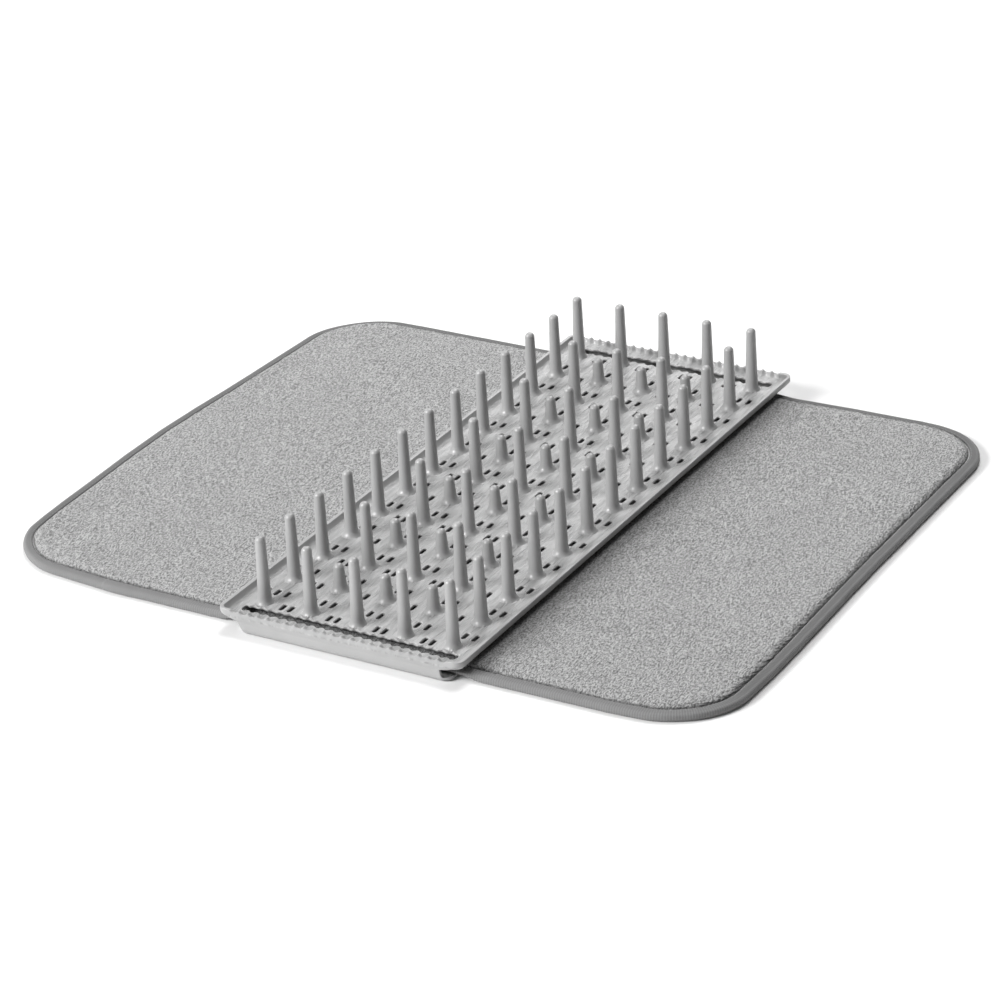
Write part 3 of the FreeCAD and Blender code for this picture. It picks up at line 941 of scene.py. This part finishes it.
def build_slab(layer, material, inset, bottom, top, step, roughness):
    """A layer under the pile, lifted over the clips' lips."""
    size = (MAT_HX - inset, MAT_HY - inset, MAT_R - inset)
    xs, X, Y = sheet_grid(*size, step=step, fine=step / 2, band=step)
    lift = pocket(X, Y) * 2.25
    rough = np.abs(rng.standard_normal(X.shape)) * roughness
    lower = np.stack([X, Y, bottom + lift + np.clip(rough, 0, 0.2)], -1)
    upper = np.stack([X, Y, np.maximum(top, bottom + lift + 0.75)], -1)
    for part in PARTS:
        chosen = within(xs, part)
        points = np.concatenate([lower[chosen].reshape(-1, 3), upper[chosen].reshape(-1, 3)])
        faces = slab_faces(int(chosen.sum()), X.shape[1])
        ob = mesh_object(f"{layer}_{part.name}_visual", settle(points), faces, material)
        hang(ob, part, layer=layer)


# ---------------------------------------------------------------- binding tape and its stitches
RIB_AMP = 0.20
SEAM_X, SEAM_LENGTH, SEAM_T = -196.0, 22, 0.35  # thicker stretch on the front
# closed section: inset from the mat's edge, height, share of the ribs
BINDING_SECTION = (
    (7.6, 5.25, 0.0), (7.85, 5.50, 0.4), (7.7, 5.80, 0.6), (6.9, 6.02, 1.0), (5.2, 6.10, 1.0),
    (3.3, 6.02, 1.0), (1.9, 5.78, 1.0), (0.85, 5.34, 1.0), (0.28, 4.60, 1.0), (0.05, 3.70, 1.0),
    (0.02, 2.8, 1.0), (0.10, 1.90, 1.0), (0.45, 1.00, 1.0), (1.1, 0.38, 1.0), (2.0, 0.12, 0.8),
    (3.4, 0.05, 0.6), (5.2, 0.04, 0.5), (6.3, 0.06, 0.4), (6.5, 0.30, 0.0), (6.4, 0.75, 0.0),
    (3.0, 0.85, 0.0), (1.3, 1.5, 0.0), (0.95, 3.0, 0.0), (1.3, 4.6, 0.0), (3.0, 5.20, 0.0),
)
STITCH_PITCH, STITCH_LENGTH, STITCH_R, STITCH_INSET = 3.6, 2.5, 0.32, 6.3
# stitch rings: place along its length, radius share, rise
STITCH_RINGS = (
    (-0.5, 0.35, -0.30), (-0.38, 0.85, -0.08), (0.0, 1.0, 0.0), (0.38, 0.85, -0.08),
    (0.5, 0.35, -0.30),
)


def mat_edge():
    """The mat's edge in 0.5 mm steps, with the tape's ribs, unevenness and seam along it."""
    step = 0.5

    def places(*stops):
        return np.concatenate([
            np.linspace(a, c, max(2, round(abs(c - a) / step)), endpoint=False)
            for a, c in zip(stops[:-1], stops[1:])
        ])

    cx, cy = MAT_HX - MAT_R, MAT_HY - MAT_R
    runs = (places(-cx, *CUTS, cx), places(-cy, cy), places(cx, *CUTS[::-1], -cx), places(cy, -cy))
    corner = np.linspace(0, 90, round(MAT_R * math.pi / 2 / step), endpoint=False)
    xy, normals = rounded_outline(MAT_HX, MAT_HY, MAT_R, runs, corner)
    segments = np.linalg.norm(np.roll(xy, -1, 0) - xy, axis=1)
    along = np.concatenate([[0], np.cumsum(segments)[:-1]])
    length = segments.sum()
    rib_pitch = length / round(length / 1.9)
    rib = 0.5 + 0.5 * np.cos(2 * math.pi * along / rib_pitch)
    uneven = smooth_noise((len(along), 2), (160, 1), 0.12)[:, 0]
    join = 40  # the last points fade back to the first value
    uneven[-join:] = uneven[-join:] * np.linspace(1, 0, join) + uneven[0] * np.linspace(0, 1, join)
    past_start = smooth01((xy[:, 0] - SEAM_X) / 0.8)
    before_end = 1 - smooth01((xy[:, 0] - SEAM_X - SEAM_LENGTH) / 10)
    seam = (np.abs(normals[:, 1] + 1) < 1e-3) * past_start * before_end
    return SimpleNamespace(
        xy=xy, normals=normals, along=along, length=length, rib=rib, uneven=uneven, seam=seam
    )


def edge_runs(edge, part):
    """Runs of neighbouring edge points that belong to a part."""
    inside = within(edge.xy[:, 0], part)
    count = len(inside)
    runs = []
    for i in [i for i in range(count) if inside[i] and not inside[i - 1]]:
        run = []
        while inside[i % count]:
            run.append(i % count)
            i += 1
        runs.append(run)
    return runs


def build_binding(edge, material):
    """Tape wrapped round the mat's edge, ribbed across, with the seam on the front."""
    inset, height, share = np.array(BINDING_SECTION).T
    outer, upper = inset < 2.5, height > 4.5
    ripple = (edge.rib[:, None] - 0.5) * RIB_AMP * share
    uneven, seam = edge.uneven[:, None], edge.seam[:, None] * SEAM_T
    x, y = edge.xy.T
    nx, ny = edge.normals.T
    lift = pocket(x, np.sign(y) * MAT_HY) * (np.abs(ny) > 0.999) * 2.3
    depth = np.maximum(inset - ripple * outer + uneven * 0.6 * outer - seam * outer, -0.25)
    Z = height + ripple * (inset >= 1.0) * np.where(height > 3, 1, -0.2)
    Z = Z + uneven * 0.5 * upper + seam * upper
    Z = np.maximum(Z, 0.02) + lift[:, None] * np.clip((1 - height / 6.0) * 1.05, 0, 1)
    points = np.stack([x[:, None] - nx[:, None] * depth, y[:, None] - ny[:, None] * depth, Z], -1)
    rib = np.broadcast_to(edge.rib[:, None], Z.shape)
    # painted shade on the tape's upper inner part, weaker on the front where the light falls
    painted_lap_shade = (smooth01((inset - 1.2) / 2.2) * upper) * (1 - 0.65 * np.clip(-ny, 0, 1))[:, None]

    width = len(inset)
    k = np.arange(width)[None, :]
    for part in PARTS:
        runs = edge_runs(edge, part)
        faces, start = [], 0
        for run in runs:
            row = np.arange(len(run) - 1)[:, None] * width + start
            i, after = row + k, row + (k + 1) % width
            faces.append(np.stack([after, after + width, i + width, i], -1).reshape(-1, 4))
            start += len(run) * width
        order = np.concatenate(runs)
        ob = mesh_object(
            f"edge_binding_{part.name}_visual", settle(points[order]).reshape(-1, 3),
            np.concatenate(faces).tolist(), material,
        )
        add_attribute(ob, "rib", rib[order].reshape(-1))
        add_attribute(ob, "painted_lap_shade", painted_lap_shade[order].reshape(-1))
        hang(ob, part, layer="edge_binding")


def add_stitch(shell, centre, normal):
    """One sunk stitch: a short tapered tube lying along the edge."""
    forward = np.array([-normal[1], normal[0], 0.0])
    side = np.array([-normal[0], -normal[1], 0.0])
    up = np.array([0, 0, 1.0])
    angles = np.linspace(0, 2 * math.pi, 6, endpoint=False)
    shell.bar([
        [
            centre + forward * t * STITCH_LENGTH + side * math.cos(a) * STITCH_R * share
            + up * (math.sin(a) * STITCH_R * share * 0.8 + rise)
            for a in angles
        ]
        for t, share, rise in STITCH_RINGS
    ])


def build_stitches(edge, material):
    pitch = edge.length / round(edge.length / STITCH_PITCH)
    places = np.arange(0, edge.length - 0.1, pitch)
    stitches = np.searchsorted(edge.along, places) % len(edge.along)
    for part in PARTS:
        shell = Shell()
        for i in stitches:
            if not part.low + 2 < edge.xy[i, 0] < part.high - 2:
                continue
            x, y = edge.xy[i] - edge.normals[i] * (STITCH_INSET + 0.12 * math.sin(i * 1.7))
            z = 6.06 + edge.uneven[i] * 0.5 + edge.seam[i] * SEAM_T + (edge.rib[i] - 0.5) * 0.08
            add_stitch(shell, np.array([x, y, z]), edge.normals[i])
        name = f"binding_stitches_{part.name}"
        hang(mesh_object(name, settle(shell.verts()), shell.faces, material), part)


# ---------------------------------------------------------------- floor, light, camera
def build_floor():
    count = 24
    x, y = np.meshgrid(
        np.linspace(-6000, 6000, count), np.linspace(-5000, 9000, count), indexing="ij"
    )
    points = np.stack([x, y, np.full(x.shape, -0.3)], -1).reshape(-1, 3)
    faces = grid_faces(count, count, flip=True).tolist()
    mesh_object("floor", points, faces, floor_material())


def build_world():
    """Grey surroundings, brightest high on the front left."""
    world = bpy.data.worlds.new("studio")
    scene.world = world
    world.use_nodes = True
    shader = Shader(world.node_tree)
    direction = shader.node("TexCoord").outputs["Generated"]
    bright = Vector((-0.55, -0.62, 0.56)).normalized()
    facing = shader.node("VectorMath", {0: direction, 1: bright}, operation="DOT_PRODUCT")
    share = shader.math("ADD", facing.outputs["Value"], 1.0)
    share = shader.math("MULTIPLY", share, 0.5)
    colour = shader.ramp(share, (0.0, 0.06), (0.45, 0.17), (1.0, 1.0))
    shader.feed(world.node_tree.nodes["Background"], {"Color": colour, "Strength": 0.38})


def add_area(name, place, target, size, power):
    light = bpy.data.lights.new(name, "AREA")
    light.shape = "RECTANGLE"
    light.size, light.size_y = size
    light.energy = power
    ob = bpy.data.objects.new(name, light)
    ob.location = place
    ob.rotation_euler = (Vector(target) - Vector(place)).to_track_quat("-Z", "Y").to_euler()
    ob.visible_camera = False
    scene.collection.objects.link(ob)


def add_camera():
    data = bpy.data.cameras.new("camera")
    data.sensor_fit = "HORIZONTAL"
    data.sensor_width = 36.0
    data.lens = 130.725
    data.clip_start, data.clip_end = 0.05, 60
    camera = bpy.data.objects.new("camera", data)
    axes = Matrix((
        (0.86721455, 0.49583054, -0.04572746),  # right
        (-0.18420461, 0.40477857, 0.89566901),  # up
        (0.46260954, -0.76831399, 0.44236414),  # backward
    ))
    pose = axes.transposed().to_4x4()
    pose.translation = Vector((1.264676, -2.102514, 1.211192))
    camera.matrix_world = pose
    scene.collection.objects.link(camera)
    scene.camera = camera


# ---------------------------------------------------------------- build
build_rack(plastic_material(tone=0.371))
build_pile(terry_material(tone=0.369))
build_slab("foam_core", foam_material(),
           inset=1.2, bottom=0.88, top=5.12, step=5.0, roughness=0.0)
build_slab("backing", cloth_material("backing_cloth", tone=0.30, thread=0.7),
           inset=6.3, bottom=0.0, top=0.8, step=2.6, roughness=0.05)
edge = mat_edge()
build_binding(edge, tape_material(tone=0.245))
build_stitches(edge, cloth_material("binding_thread", tone=0.24, thread=0.35))

build_floor()
build_world()
add_area("key", place=(-3.1, -3.8, 2.85), target=(0, 0, 0.02), size=(2.5, 2.0), power=400)
add_area("top", place=(-0.2, 1.5, 3.4), target=(0, 0.1, 0.02), size=(1.6, 1.6), power=85)
add_area("rear", place=(-0.35, 1.5, 0.85), target=(0.05, 0.24, 0.02), size=(0.9, 0.7), power=7)
add_camera()
scene.view_settings.view_transform = "Standard"
scene.view_settings.look = "None"
